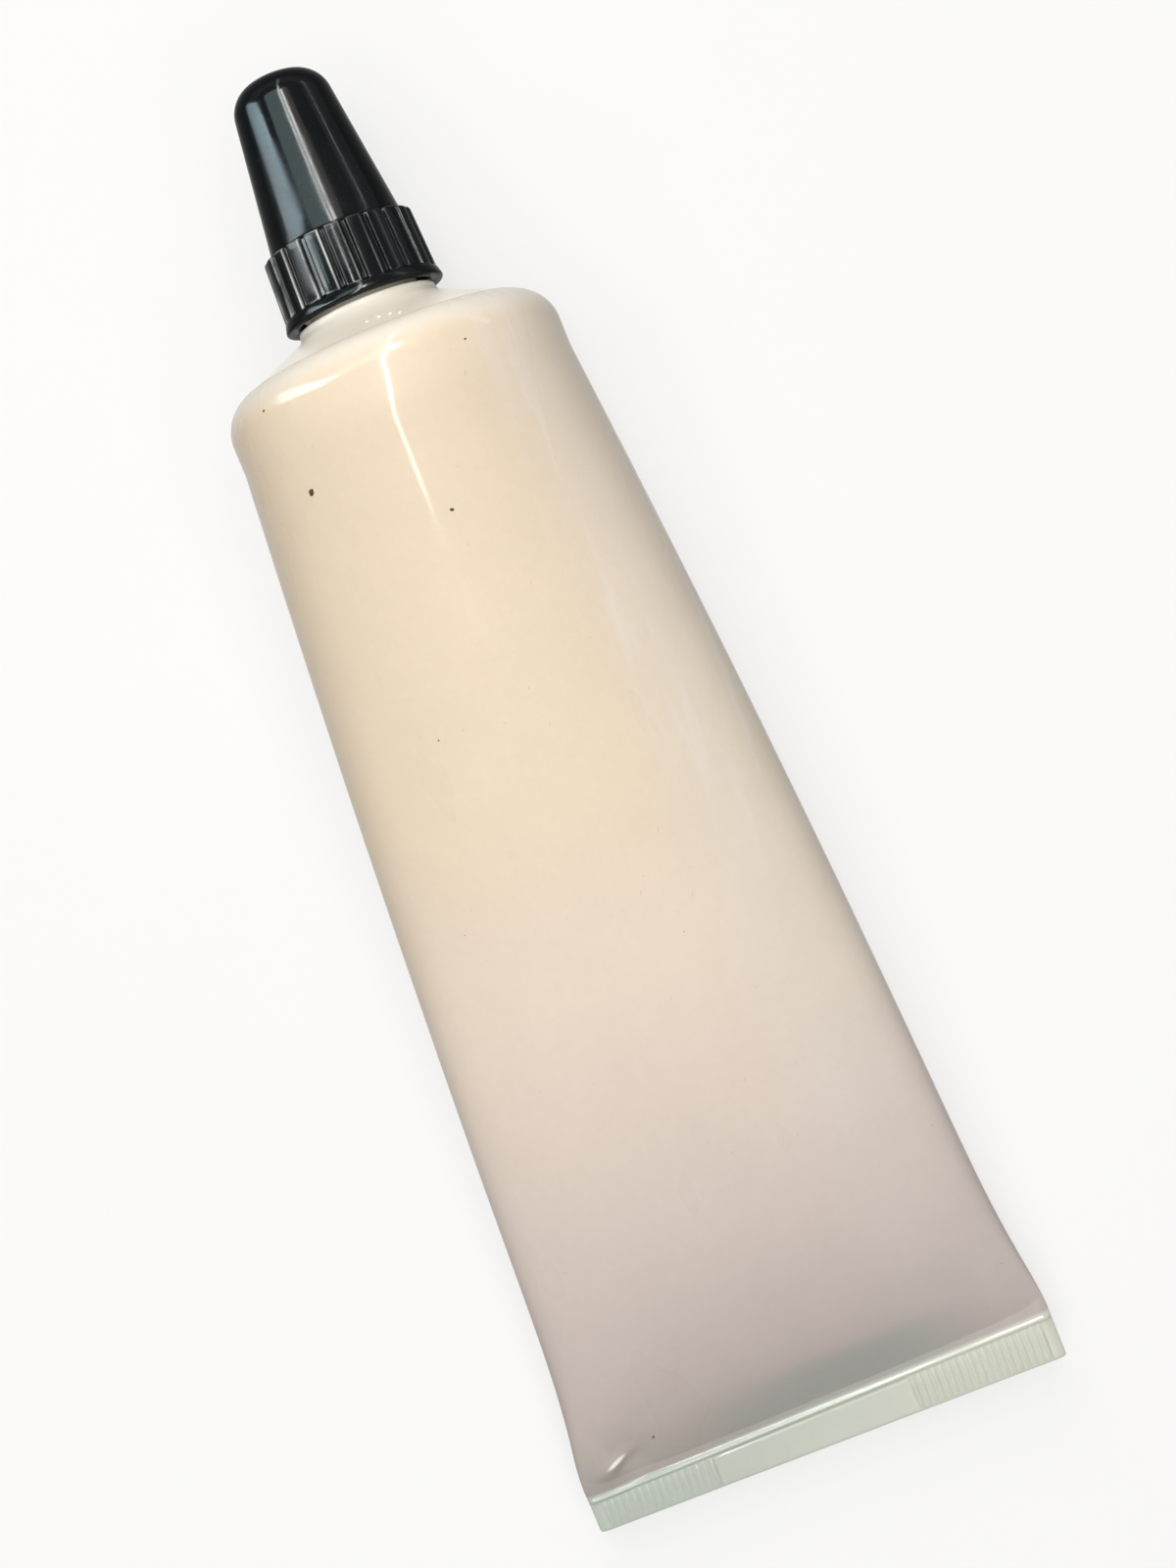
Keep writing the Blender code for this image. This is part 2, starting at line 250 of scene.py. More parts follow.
def gridFaces(rows, columns, closed):
    last = columns if closed else columns - 1
    return [(r * columns + i, r * columns + (i + 1) % columns,
             (r + 1) * columns + (i + 1) % columns, (r + 1) * columns + i)
            for r in range(rows - 1) for i in range(last)]


def roundedPath(corners, steps=6):
    # corners are (X, radius, rounding); each one is replaced by a small curve
    path = []
    for i, (x, r, rounding) in enumerate(corners):
        here = np.array((x, r))
        if rounding == 0 or i in (0, len(corners) - 1):
            path.append(here)
            continue
        away = [np.array(corners[j][:2]) - here for j in (i - 1, i + 1)]
        start, end = (here + side / np.linalg.norm(side) * rounding for side in away)
        for t in np.linspace(0, 1, steps):
            path.append((1 - t) ** 2 * start + 2 * t * (1 - t) * here + t ** 2 * end)
    return path


def turnPath(name, path, segments, sharp, material):
    # a closed path of (X, radius) turned about the tube's axis; it runs so that faces point outwards
    angles = np.arange(segments) * 2 * math.pi / segments
    points = [(x, r * math.cos(a), tube.axisHeight + r * math.sin(a)) for x, r in path for a in angles]
    item = linkMesh(name, points, gridFaces(len(path), segments, True))
    tree, g = startTree(name + "Weld", {})  # closes poles and seams
    bakeTree(item, endTree(g, step("MergeByDistance", g.Geometry, Distance=1e-6)), {"material": material})
    bpy.data.node_groups.remove(tree)
    return setSharp(item, sharp)


# materials

def startMaterial(name):
    material = bpy.data.materials.new(name)
    material.use_nodes = True
    return material, grow(material.node_tree, "ShaderNodeTexCoord", "Object")


def finishMaterial(material, inputs):
    tree = material.node_tree
    for label, value in inputs.items():
        feed(tree, tree.nodes["Principled BSDF"].inputs[label], value)
    return material


def twoTone(material, look, tone, rough, normal, **inputs):
    return finishMaterial(material, {
        "Base Color": mixColour(tone, *look.tones), "Normal": normal,
        "Roughness": remap(rough, 0.3, 0.7, *look.roughness), **inputs})


def remap(value, fromLow, fromHigh, toLow=0.0, toHigh=1.0, blend="LINEAR"):
    return grow(value.tree, "ShaderNodeMapRange", "Result", {
        "Value": value, "From Min": fromLow, "From Max": fromHigh, "To Min": toLow, "To Max": toHigh},
        interpolation_type=blend)


def ease(value, *limits):
    return remap(value, *limits, blend="SMOOTHSTEP")


def turnedAway(tree):
    # 0 where the surface faces the viewer, 1 along its outline
    return grow(tree, "ShaderNodeLayerWeight", "Facing", {"Blend": 0.5})


def mixColour(factor, first, second):
    first, second = ((*value, 1.0) if isinstance(value, tuple) else value for value in (first, second))
    return grow(factor.tree, "ShaderNodeMix", 2, {0: factor, 6: first, 7: second}, data_type="RGBA")


def ramp(factor, stops):
    node = addNode(factor.tree, "ShaderNodeValToRGB", {"Fac": factor})
    elements = node.color_ramp.elements
    while len(elements) < len(stops):
        elements.new(0.5)
    for element, (place, colour) in zip(elements, stops):
        element.position = place
        element.color = (*colour, 1.0)
    return wire(factor.tree, node.outputs["Color"])


def bump(height, strength, distance):
    return grow(height.tree, "ShaderNodeBump", "Normal", {"Height": height, "Strength": strength, "Distance": distance})


def cells(place, scale):
    return grow(place.tree, "ShaderNodeTexVoronoi", "Distance", {"Vector": place, "Scale": scale})


def within(place, box):
    # the place as seen from a box with its own location, turn and size
    return grow(place.tree, "ShaderNodeMapping", "Vector", {"Vector": place, **box}, vector_type="TEXTURE")


def dashes(place, size, turn, radius, keep):
    # short hair scratches: small stretched cells, of which only some are kept
    tree = place.tree
    stretched = within(place, {"Scale": size, "Rotation": turn})
    node = addNode(tree, "ShaderNodeTexVoronoi", {"Vector": stretched, "Scale": 1.0})
    colour, distance = (wire(tree, node.outputs[label]) for label in ("Color", "Distance"))
    chance = grow(tree, "ShaderNodeSeparateColor", "Red", {"Color": colour})
    return remap(distance, radius * 0.5, radius, 1.0, 0.0) * (chance < keep)


def scratches(place, kinds):
    return most(*(dashes(place, *kind) for kind in kinds))


sleeveFinish = {  # ranges are (from, to, value at the first, value at the second)
    "stops": [  # from the tail to the shoulder: partly the contents getting deeper, partly painted shade, darkest just above the seal
        (0.042, (0.345, 0.31, 0.285)),
        (0.062, (0.42, 0.39, 0.355)),
        (0.11, (0.505, 0.445, 0.41)),
        (0.20, (0.585, 0.51, 0.47)),
        (0.32, (0.70, 0.605, 0.54)),
        (0.46, (0.79, 0.68, 0.57)),
        (0.65, (0.83, 0.70, 0.535)),
        (1.0, (0.83, 0.695, 0.525)),
    ],
    "wander": 0.05,  # how far the colour change wanders along the tube
    "lean": -2.2,  # and how much further it reaches on one side, per metre
    "bare": (0.385, 0.390, 0.365),  # painted shade: a grey patch in the middle of the tail, on its slope that turns away from the light
    "bareMiddle": -3.9 * mm,
    "bareAcross": (3 * mm, 20 * mm, 0.9, 0.0),
    "bareAlong": (tube.sealLine + 4.6 * mm, tube.sealLine + 8 * mm, 1.0, 0.0),
    "bareWander": 40 * mm,
    "lip": (0.88, 0.83, 0.735),  # paler where the sleeve is rolled in over the shoulder
    "lipAlong": (46.4 * mm, 48.8 * mm, 0.0, 0.85),
    "seal": ((0.60, 0.62, 0.53), (0.47, 0.515, 0.46)),  # bare sheet, with no contents behind it, from right to left
    "sealAlong": (tube.sealLine + 0.1 * mm, tube.sealLine + 0.6 * mm, 1.0, 0.0),
    "sealAcross": (-20 * mm, 20 * mm),
    "stress": (0.93, 0.92, 0.82),  # painted highlight: a pale short streak along the pucker's crest, standing in for a glint
    "stressFade": (0.45, 1.2, 0.9, 0.0),
    "crest": {"Location": tuple(pucker.values()), "Rotation": (0.0, 0.0, math.radians(-67.3)),
              "Scale": (1.4 * mm, 0.32 * mm, 20 * mm)},
    "rubbed": (0.90, 0.84, 0.78),  # painted reflection on one side: greyer, with pale lengthwise streaks of sheen
    "rubbedAcross": (-6 * mm, -15 * mm, 0.0, 1.0),
    "rubbedAlong": (-58 * mm, 0.0, 0.35, 1.0),
    "streaks": (0.52, 0.72, 0.0, 0.55),
    "streakAlong": (-22 * mm, 16 * mm, 0.0, 1.0),
    "greyed": 0.74,
    "mottle": (0.5, 1.5, 0.9648, 1.0352),
    "outline": (0.3, 0.9, 1.0, 0.88),  # painted shade: a little darker towards the outline
    "hairs": [  # cell, turn, radius, share kept
        ((16 * mm, 0.9 * mm, 0.9 * mm), (0.0, 0.1, 0.9), 0.055, 0.45),
        ((9 * mm, 0.7 * mm, 0.7 * mm), (0.0, -0.1, -0.35), 0.06, 0.35),
    ],
    "hairColour": (0.35, 0.26, 0.17),
    "pits": ((2.6 * mm, 2.2 * mm, 2.2 * mm), (0.0, 0.0, 0.0), 0.045, 0.16),
    "pitColour": (0.22, 0.15, 0.09),
    "roughness": (0.22, 0.36),
    "grain": 0.05,
    "coat": 0.26,
    "coatRoughness": 0.085,
    "coatIor": 1.9,
    "gloss": 0.25,
    "fade": (0.08, 0.45, 1.0, 0.25),  # the gloss dies down towards the outline
}


def makeSleevePlastic(look):
    material, place = startMaterial("sleevePlastic")
    x, y, _ = axesOf(place)
    drift = (noise(place, 28, 1.0) - 0.5) * look.wander
    # tone along the tube, with painted shade towards the tail
    share = remap(x, tube.tailEnd, tube.sharpCorner) + drift + least(y, 0.0) * look.lean
    base = ramp(share, look.stops)
    # painted shade: where the grey patch lies in the middle of the tail
    empty = ease(abs(y - look.bareMiddle), *look.bareAcross)
    empty = empty * ease(drift * look.bareWander + x, *look.bareAlong)
    base = mixColour(empty, base, look.bare)
    base = mixColour(ease(x, *look.lipAlong), base, look.lip)
    base = mixColour(remap(x, *look.sealAlong), base, mixColour(remap(y, *look.sealAcross), *look.seal))
    # painted highlight along the pucker's crest
    base = mixColour(ease(lengthOf(within(place, look.crest)), *look.stressFade), base, look.stress)
    # painted reflection: one side greyer, with pale lengthwise streaks
    side = ease(y, *look.rubbedAcross) * remap(x, *look.rubbedAlong)
    streaks = remap(noise(place, 420, 3.0, (0.035, 1, 1)), *look.streaks) * ease(x, *look.streakAlong)
    base = mixColour(side * streaks, base, look.rubbed)
    away = turnedAway(place.tree)
    cloud = remap(noise(place, 120, 3.0) + noise(place, 900, 3.0, rough=0.7), *look.mottle)
    # random mottle times painted shade towards the outline; less saturation on the side with painted reflection
    base = grow(place.tree, "ShaderNodeHueSaturation", "Color", {
        "Color": base, "Value": cloud * remap(away, *look.outline),
        "Saturation": remap(side, 0.0, 1.0, 1.0, look.greyed)})
    hairs = scratches(place, look.hairs)
    base = mixColour(hairs * 0.35, base, look.hairColour)
    base = mixColour(dashes(place, *look.pits) * 0.55, base, look.pitColour)
    smear = noise(place, 60, 3.0, (0.5, 1.6, 1.6))
    shine = remap(away, *look.fade)
    grain = noise(place, 1500, 2.0) * 0.6 + noise(place, 300, 2.0, (0.4, 1, 1))
    return finishMaterial(material, {
        "Base Color": base,
        "Roughness": hairs * 0.2 + remap(smear, 0.0, 1.0, *look.roughness),
        "Coat Weight": shine * look.coat,
        "Coat Roughness": look.coatRoughness,
        "Coat IOR": look.coatIor,
        "Specular IOR Level": shine * look.gloss,
        "Normal": bump(grain - hairs, look.grain, 0.1 * mm)})


shoulderFinish = {
    "tones": ((0.98, 0.93, 0.815), (0.95, 0.887, 0.77)),
    "deepAlong": (48.8 * mm, 52.6 * mm, 1.0, 0.0),  # painted shade: the cone is greyer than the neck, as light falls on it at another angle
    "roughness": (0.28, 0.42),
}


def makeShoulderPlastic(look):
    material, place = startMaterial("shoulderPlastic")
    x, _, _ = axesOf(place)
    # random tone, plus painted shade on the cone
    depth = noise(place, 160, 3.0) * 0.25 + remap(x, *look.deepAlong) * 0.75
    return twoTone(material, look, depth, noise(place, 400, 2.0), bump(noise(place, 900, 3.0), 0.12, 0.1 * mm))


capFinish = {
    "base": (0.0045, 0.0060, 0.0066),
    "dust": (0.10, 0.11, 0.11),
    "scuff": (0.72, 0.73, 0.70),  # pale rib edges: partly wear, partly painted highlight, more on the lit side than on the other
    "scuffSpread": (-4.0 * mm, 1.5 * mm, 0.04, 0.95),
    "hairs": [
        ((3.0 * mm, 0.22 * mm, 0.22 * mm), (0.2, 0.3, 0.5), 0.11, 0.6),
        ((2.2 * mm, 0.2 * mm, 0.2 * mm), (0.9, -0.2, -0.3), 0.11, 0.6),
    ],
    "roughness": (0.06, 0.27),
    "gloss": (0.12, 0.40, 0.36, 0.012),  # full where the cap faces the viewer, low along its outline
}


def makeCapPlastic(look):
    material, place = startMaterial("capPlastic")
    _, y, _ = axesOf(place)
    dust = remap(cells(place, 700.0), 0.05, 0.13, 1.0, 0.0) * remap(noise(place, 140, 2.0), 0.55, 0.7)
    hairs = scratches(place, look.hairs)
    film = remap(noise(place, 420, 6.0, (0.6, 1, 1), 0.7) * noise(place, 110, 2.0), 0.12, 0.42)
    base = mixColour(film * 0.02 + (dust * 0.35 + hairs * 0.10), look.base, look.dust)
    # pale rib edges: wear and painted highlight, stronger on one side
    rubbed = grow(place.tree, "ShaderNodeAttribute", "Fac", attribute_name="edgeWear")
    rubbed = rubbed * remap(noise(place, 420, 3.0, (0.4, 1, 1)), 0.36, 0.62) * remap(y, *look.scuffSpread)
    height = noise(place, 1300, 3.0) * 0.5 + noise(place, 220, 2.0, (0.4, 1, 1))
    return finishMaterial(material, {
        "Base Color": mixColour(rubbed, base, look.scuff),
        "Roughness": hairs * 0.25 + remap(film, 0.0, 1.0, *look.roughness),
        "Specular IOR Level": remap(turnedAway(place.tree), *look.gloss),
        "Normal": bump(height - hairs, 0.06, 0.06 * mm)})


wadFinish = {"tones": ((0.84, 0.84, 0.80), (0.66, 0.66, 0.61)), "roughness": (0.7, 0.95)}


def makeWadFoam(look):
    material, place = startMaterial("wadFoam")
    foam = cells(place, 2600.0)
    return finishMaterial(material, {
        "Base Color": mixColour(remap(foam, 0.2, 0.8), *look.tones),
        "Roughness": remap(foam, 0.0, 1.0, *look.roughness),
        "Normal": bump(foam, 0.4, 0.08 * mm)})


foilFinish = {"tones": ((0.78, 0.78, 0.77), (0.55, 0.55, 0.54)), "roughness": (0.22, 0.42)}


def makeFoilMetal(look):
    material, place = startMaterial("foilMetal")
    rolled = noise(place, 700, 3.0, (1, 0.12, 1))
    crinkle = cells(place, 900.0) + noise(place, 500, 3.0)
    return twoTone(material, look, rolled, rolled, bump(crinkle, 0.35, 0.06 * mm), Metallic=1.0)


greaseFinish = {"tones": ((0.74, 0.54, 0.22), (0.58, 0.36, 0.10)), "roughness": (0.18, 0.40)}


def makeGreaseBody(look):
    material, place = startMaterial("greaseBody")
    swirl = noise(place, 110, 4.0, (0.4, 1, 1))
    return twoTone(material, look, swirl, swirl, bump(swirl, 0.3, 0.3 * mm), **{
        "Subsurface Weight": 0.4, "Subsurface Radius": (1.0, 0.6, 0.25), "Subsurface Scale": 3.0 * mm})


crumbFinish = {"tones": ((0.035, 0.020, 0.010), (0.13, 0.075, 0.03)), "roughness": (0.6, 0.9)}


def makeCrumbDirt(look):
    material, place = startMaterial("crumbDirt")
    grit = noise(place, 3500, 3.0)
    return twoTone(material, look, grit, grit, bump(grit, 0.5, 0.05 * mm))


sleevePlastic = makeSleevePlastic(dots(sleeveFinish))
shoulderPlastic = makeShoulderPlastic(dots(shoulderFinish))
capPlastic = makeCapPlastic(dots(capFinish))
wadFoam = makeWadFoam(dots(wadFinish))
foilMetal = makeFoilMetal(dots(foilFinish))
greaseBody = makeGreaseBody(dots(greaseFinish))
crumbDirt = makeCrumbDirt(dots(crumbFinish))
print("materials made")


# sleeve: round at the shoulder, flat at the tail, with the same circumference all the way

sleeve = {
    **{label: vars(tube)[label] for label in ("radius", "axisHeight", "tailEnd", "sealHeight", "trimSkew")},
    "sealHalf": tube.sealThickness / 2,
    "sealBulge": 1.8 * mm,  # bluntness of the seal's narrow ends
    "wedgeLength": 115.75 * mm,
    "tailHalfHeight": 4.9 * mm,
    "tailRounding": 7.0 * mm,
    "tailPower": 1.25,
    "squareness": 0.5,
    "restFlat": 0.4 * mm,
    "restRun": 18.0 * mm,
    "beadHeight": 0.28 * mm,  # material squeezed up along the edge of the sealing jaws
    "beadWidth": 0.34 * mm,
    "beadPlace": -0.2 * mm,
    "grooveDepth": 0.07 * mm,  # a fine line beside the bead, along the pad
    "grooveWidth": 0.18 * mm,
    "grooveGap": 0.62 * mm,
    "padMiddle": (tube.padLeft + tube.padRight) / 2,
    "padHalf": (tube.padLeft - tube.padRight) / 2,
    "creaseHeight": 0.10 * mm,  # fold marks that run up from the tail's two corners
    "creaseInset": 3.5 * mm,
    "creaseWidth": 0.7 * mm,
    "creaseStart": 3.0 * mm,
    "creaseFade": 22.0 * mm,
    "pinchX": pucker["x"],
    "pinchY": pucker["y"],
    "pinchAhead": 0.385,  # the way the pucker points
    "pinchAside": 0.922,
    "pinchHeight": 0.42 * mm,
    "pinchLength": 2.4 * mm,
    "pinchWidth": 0.85 * mm,
    "pinchTilt": 0.34,
    "pinchSpread": 2.6 * mm,
    "dentDepth": 0.14 * mm,  # soft dents from handling
    "dentScale": 24.0,
    "dentStart": 36.0 * mm,
}
sheet = {"wall": 0.5 * mm, "columns": 320, "lipForward": 0.06 * mm, "lipDrop": 0.1 * mm}


def makeSleeveTree(settings):
    tree, g = startTree("sleeveRule", {label: "Float" for label in settings})
    labels = ("along", "around", "shrink", "inset", "flat")
    along, around, shrink, inset, flat = (stored(tree, label) for label in labels)
    radius, half = g.radius, g.tailHalfHeight
    signedRun = along - g.sealHeight
    run = most(signedRun, 0.0)
    share = least(run / g.wedgeLength, 1.0)
    wedge = (radius - half) * share + half
    reach = run / g.tailRounding
    bodyHalf = wedge * (1.0 - fading(reach ** g.tailPower))
    # half width of an ellipse with this half height and the tube's circumference
    cross = most(bodyHalf, g.sealHalf)
    width = radius * 2.0
    slack = cross * (-4.0 / 3.0) + width
    product = width * width * (1.0 / 6.0) + cross * (cross - width)
    outerHalf = (slack + (product * -4.0 + slack * slack).do("SQRT")) * 0.5
    # section: boxy next to the seal, an ellipse further up
    sine, cosine = around.do("SINE"), around.do("COSINE")
    steep = abs(sine)
    bodyRise = most(bodyHalf - inset, 0.0) * steep ** (1.0 - g.squareness * fading(reach))
    sealRise = least(g.sealBulge * steep, g.sealHalf) * most(1.0 - inset / g.sealHalf, 0.0)
    # bead, groove and fold marks, on the outer face only
    outside = inset < 1e-6
    face = outside * least(steep * 5.0, 1.0)
    across = outerHalf * cosine
    fromBead = signedRun - g.beadPlace
    groove = g.grooveDepth * bell(fromBead + g.grooveGap, g.grooveWidth)
    groove = groove * (abs(across - g.padMiddle) < g.padHalf)
    bead = g.beadHeight * bell(fromBead, g.beadWidth) - groove
    crease = g.creaseHeight * bell(outerHalf - g.creaseInset - abs(across), g.creaseWidth)
    crease = crease * (least(run / g.creaseStart, 1.0) * fading(run / g.creaseFade))
    rise = (bead + crease) * face + most(bodyRise, sealRise)
    rise = rise * sine.do("SIGN") * flat
    # the back lies on the bench, and the tail is trimmed askew
    press = most(least((g.wedgeLength - run) / g.restRun, 1.0), 0.0)
    middle = wedge - radius - g.restFlat * press
    height = most(middle + rise, inset - radius)
    trim = g.trimSkew * most(1.0 - along / g.sealHeight, 0.0) * (cosine * 0.5 + 0.5)
    spot = vector(tree, along + g.tailEnd + trim, (outerHalf - inset) * cosine * shrink,
                  height * shrink + g.axisHeight)
    shaped = step("SetPosition", g.Geometry, Position=spot)
    # dents and pucker, on the upper face only
    place = placeOf(tree)
    x, y, _ = axesOf(place)
    upper = sine > 0.0
    calm = least(run / g.dentStart, 1.0) * (1.0 - share ** 5.0)
    dent = (noise(place, g.dentScale, 1.0) - 0.5) * g.dentDepth * (calm * upper)
    dx, dy = x - g.pinchX, y - g.pinchY
    lengthwise = dx * g.pinchAhead - dy * g.pinchAside
    sideways = dx * g.pinchAside + dy * g.pinchAhead
    pinch = bell(lengthwise, g.pinchLength) * bell(sideways, g.pinchWidth) * g.pinchHeight
    tilt = dy * g.pinchTilt * (bell(dx, g.pinchSpread) * bell(dy, g.pinchSpread))
    lift = (pinch + tilt) * upper + dent
    normal = grow(tree, "GeometryNodeInputNormal", "Normal")
    dented = step("SetPosition", shaped, Offset=scaled(normal, lift * outside))
    return endTree(g, step("MergeByDistance", dented, Distance=1e-6))


sleeveTree = makeSleeveTree(sleeve)


def makeRings(name, stations, columns, values):
    # stations are (along, shrink, inset, flat); each becomes a ring of points for the sleeve's rule
    table = np.repeat(np.array(stations, float), columns, axis=0)
    around = np.tile(np.arange(columns) * 2 * math.pi / columns, len(stations))
    points = np.column_stack((table[:, 0], np.cos(around), np.sin(around)))
    item = linkMesh(name, points, gridFaces(len(stations), columns, True))
    stores = {"along": table[:, 0], "shrink": table[:, 1], "inset": table[:, 2], "flat": table[:, 3], "around": around}
    storeFloats(item, **stores)
    bakeTree(item, sleeveTree, values)
    for label in stores:
        item.data.attributes.remove(item.data.attributes[label])
    return item


def cornerStations(inset, steps):
    start = tube.cornerStart - tube.tailEnd
    middle, bend = tube.radius - tube.cornerRadius, tube.cornerRadius - inset
    return [(start + bend * math.sin(a), (middle + bend * math.cos(a)) / tube.radius, 0.0, 1.0)
            for a in np.linspace(0, tube.cornerTurn, steps)]


def makeSleeve(s, rule):
    wall = s.wall
    # the trimmed edge, then rings that lie closest along the bead
    cut = ((0.0, 0.45, 0.0), (0.0, 0.28, 1.0), (0.05, 0.14, 1.0), (0.15, 0.05, 1.0), (0.3, 0.0, 1.0))
    spread = (*np.linspace(0.6, 4.0, 8), *np.linspace(4.1, 6.6, 30),
              *(6.6 + 24 * np.linspace(0.03, 1, 56) ** 1.7), *np.linspace(32.2, 122.6, 56))
    outer = [(a * mm, 1.0, inset * mm, flat) for a, inset, flat in cut]
    outer += [(a * mm, 1.0, 0.0, 1.0) for a in spread] + cornerStations(0.0, 22)
    inner = cornerStations(wall, 14)
    lipEnd = np.array(outer[-1]) * 0.5 + np.array(inner[-1]) * 0.5
    lipEnd[0] += s.lipForward
    lipEnd[1] -= s.lipDrop / tube.radius
    body = [(a * mm, 1.0, wall, 1.0) for a in np.linspace(7.4, 122.0, 40)]
    rings = outer + [tuple(lipEnd)] + inner[::-1] + body[::-1] + [(7.2 * mm, 1.0, wall, 0.0)]
    item = makeRings("sleeveSheet", rings, s.columns, {**rule, "material": sleevePlastic})
    return setSharp(item, 60)


sleeveSheet = makeSleeve(dots(sheet), sleeve)
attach(sleeveSheet, "tube")
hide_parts("tube_sleeve")
print("sleeve made:", len(sleeveSheet.data.polygons), "faces")


# seal: fine pressed ribs at both ends of the band, on both faces, with a plain pad between

sealRibs = {
    "pitch": 0.84 * mm,
    "ribHeight": 0.30 * mm,
    "base": 0.08 * mm,
    "sink": 0.004 * mm,
    "outerEnd": 26.2 * mm,
    "margin": 0.28 * mm,  # plain edge left along the trimmed end
    "bodyGap": 0.42 * mm,
    "leftShare": 0.65,  # the left row is pressed less deeply
    "borderShare": 1.35,  # and the ribs next to the pad stand higher
    "spread": (0.85, 1.1),
    "seed": 7,
}


def makeRibTree():
    tree, g = startTree("sealRibRow", {"pitch": "Float", "ribHeight": "Float", "base": "Float"})
    strip = grow(tree, "GeometryNodeMeshCube", "Mesh", {
        "Size": vector(tree, 1.0, g.pitch, g.base), "Vertices X": 7, "Vertices Y": 9})
    x, y, z = axesOf(placeOf(tree))
    wave = ((y / g.pitch * (2 * math.pi)).do("COSINE") * 0.5 + 0.5) ** 0.7
    ends = 1.0 - (abs(x) * 2.0) ** 5.0
    lift = wave * ends * g.ribHeight * (z > 0.0) + g.base * -0.5  # all but the crests is sunk in the band
    raised = step("SetPosition", strip, Offset=vector(tree, z=lift))
    size = vector(tree, stored(tree, "ribLength"), 1.0, stored(tree, "ribCrest"))
    return endTree(g, scatter(g.Geometry, raised, Rotation=vector(tree, stored(tree, "ribFlip")), Scale=size))


def makeSealRibs(s):
    random = np.random.default_rng(s.seed)
    rows = []
    left = np.arange(tube.padLeft + s.pitch / 2, s.outerEnd, s.pitch)
    right = -np.arange(-tube.padRight + s.pitch / 2, s.outerEnd, s.pitch)
    for y in (*left, *right):
        trim = tube.tailEnd + tube.trimSkew * (1 + y / tube.sealHalfWidth) / 2
        start, end = trim + s.margin, tube.sealLine - s.bodyGap
        share = (s.leftShare if y > 0 else 1.0) * (s.borderShare if y in (left[0], right[0]) else 1.0)
        for side, flip in ((1, 0.0), (-1, math.pi)):
            place = ((start + end) / 2, y, tube.sealMiddle + side * (tube.sealThickness / 2 - s.sink))
            rows.append((place, end - start, share * random.uniform(*s.spread), flip))
    points, lengths, crests, flips = zip(*rows)
    item = linkMesh("sealRibs", points)
    storeFloats(item, ribLength=lengths, ribCrest=crests, ribFlip=flips)
    bakeTree(item, makeRibTree(), {**vars(s), "material": sleevePlastic})
    return setSharp(item, 48)


sealRibRow = makeSealRibs(dots(sealRibs))
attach(sealRibRow, "tube")
print("seal ribs made:", len(sealRibRow.data.polygons), "faces")


# contents: the same rule, inside the sleeve's wall, then in under the shoulder and up the bore

grease = {
    "gap": 0.8 * mm,
    "start": 8.6 * mm,
    "underSlope": 2.05 * mm,
    "rimStart": 121.2 * mm,
    "rimRadius": 15.2 * mm,
    "middleRadius": 9.0 * mm,
    "boreRadius": 2.7 * mm,
    "calm": {"beadHeight": 0.0, "grooveDepth": 0.0, "creaseHeight": 0.0,  # none of the sleeve's relief
             "pinchHeight": 0.0, "pinchTilt": 0.0, "dentDepth": 0.0},
}


def makeGrease(s):
    rings = [(s.start, 1.0, s.gap, 0.0)]
    rings += [(s.start + a * mm, 1.0, s.gap, 1.0) for a in np.linspace(0.1, 112.4, 60)]
    bore, mouth = s.boreRadius, tube.neckMouth - tube.tailEnd
    ends = [(s.rimStart, s.rimRadius)]
    ends += [(conePlace(r) - tube.tailEnd - s.underSlope, r) for r in (s.rimRadius, s.middleRadius, bore)]
    ends += [(mouth - 0.1 * mm, bore), (mouth, bore * 0.8), (mouth, 0.0)]
    rings += [(place, ring / tube.radius, 0.0, 1.0) for place, ring in ends]
    return setSharp(makeRings("greaseContents", rings, 96, {**sleeve, **s.calm, "material": greaseBody}), 50)


greaseContents = makeGrease(dots(grease))
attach(greaseContents, "tube")
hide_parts("grease_fill")
print("contents made")


# shoulder and neck: one moulding, turned, with a rounded foot where the neck's collar meets the cone

shoulder = {
    "collarRadius": 7.25 * mm,
    "collarTop": 53.85 * mm,
    "neckRadius": 5.7 * mm,
    "boreRadius": 3.0 * mm,
    "lipRadius": 15.0 * mm,
    "wall": 1.74 * mm,
    "sunk": 0.12 * mm,  # the cone lies a little below the sleeve's rolled edge
    "flangeEnd": 43.2 * mm,  # the flange that the sleeve is welded to
    "flangeInner": 15.5 * mm,
    "flangeOuter": 16.7 * mm,
    "segments": 144,
}


def makeShoulder(s):
    lipFoot, mouth = s.lipRadius + 0.1 * mm, tube.neckMouth
    corners = [
        (mouth, s.boreRadius, 0),
        (conePlace(s.boreRadius) - s.wall, s.boreRadius, 0.8 * mm),
        (conePlace(s.flangeInner) - s.wall, s.flangeInner, 0.5 * mm),
        (s.flangeEnd, s.flangeInner, 0.2 * mm),
        (s.flangeEnd, s.flangeOuter, 0.3 * mm),
        (45.8 * mm, s.flangeOuter, 0.5 * mm),
        (48.3 * mm, 15.4 * mm, 0.5 * mm),
        (conePlace(lipFoot) - s.sunk - 0.45 * mm, lipFoot, 0.1 * mm),
        (conePlace(s.lipRadius) - s.sunk, s.lipRadius, 0.15 * mm),
        (conePlace(11.0 * mm) - s.sunk, 11.0 * mm, 0.4 * mm),
        (conePlace(s.collarRadius), s.collarRadius, 0.8 * mm),
        (s.collarTop, s.collarRadius, 0.16 * mm),
        (s.collarTop, s.neckRadius, 0.12 * mm),
        (mouth, s.neckRadius, 0.28 * mm),
        (mouth, s.boreRadius, 0),
    ]
    return turnPath("shoulderNeck", roundedPath(corners), s.segments, 45, shoulderPlastic)


